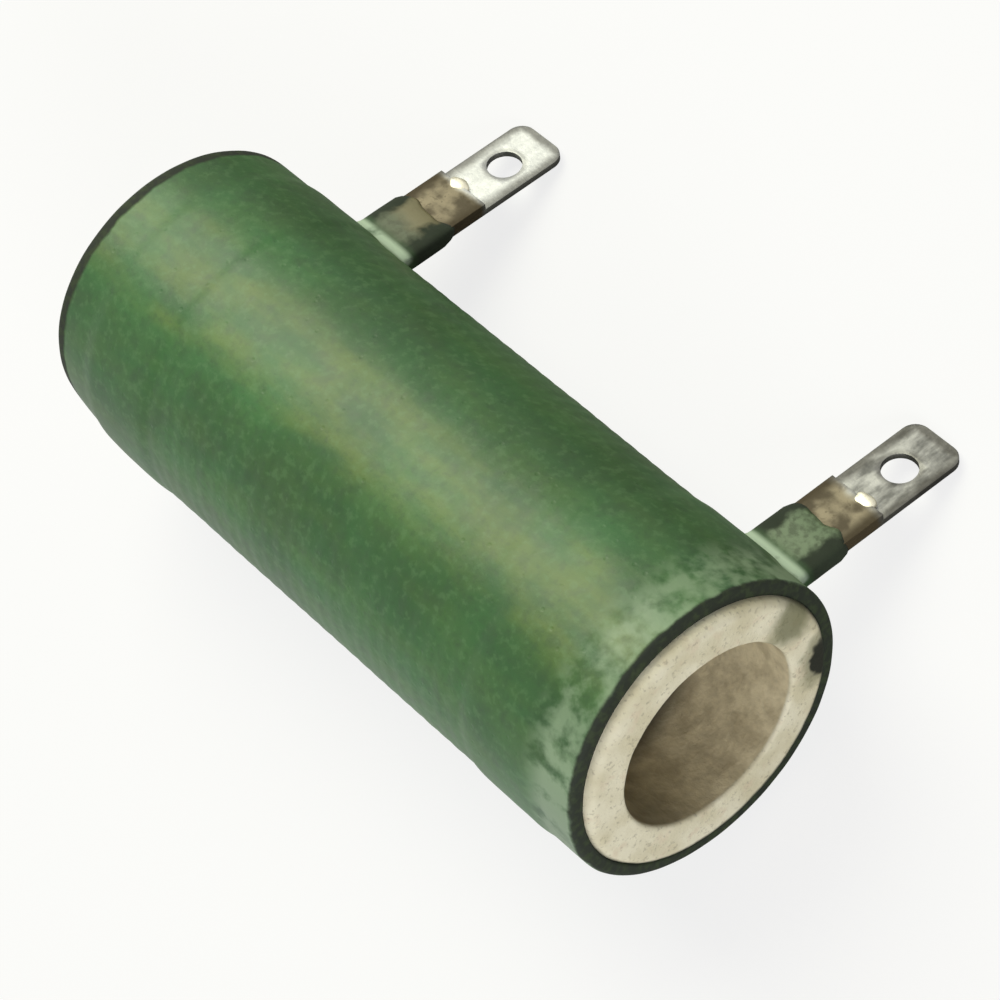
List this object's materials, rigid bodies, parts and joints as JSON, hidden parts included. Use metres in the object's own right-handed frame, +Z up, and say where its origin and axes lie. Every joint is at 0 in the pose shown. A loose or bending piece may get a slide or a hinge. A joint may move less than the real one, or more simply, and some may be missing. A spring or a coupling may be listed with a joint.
{
  "type": "vitreous enamel resistor",
  "caption": "Tubular wirewound power resistor: a bored ceramic tube under a coat of green fired enamel, with flat solder lugs standing out to one side near its ends.",
  "frame": {"origin": "middle of the tube's bore, halfway along its length", "axes": "+X along the bore towards the front end, +Y towards the side on which the lugs stand out, +Z up; the part lies on its enamel and on the tips of its lugs"},
  "size_m": [0.0518, 0.0339, 0.021],
  "materials": {
    "ceramic": "bare, porous, cream",
    "resistance_wire": "oxidised nickel-chromium wire",
    "tinned_strip": "dull tin over scaled strip",
    "enamel": "glossy fired enamel, mid green"
  },
  "bodies": {
    "root": {"ceramic_tube": "ceramic", "resistance_winding": "resistance_wire", "front_terminal": "tinned_strip", "rear_terminal": "tinned_strip", "enamel_coat": "enamel"}
  },
  "joints": []
}
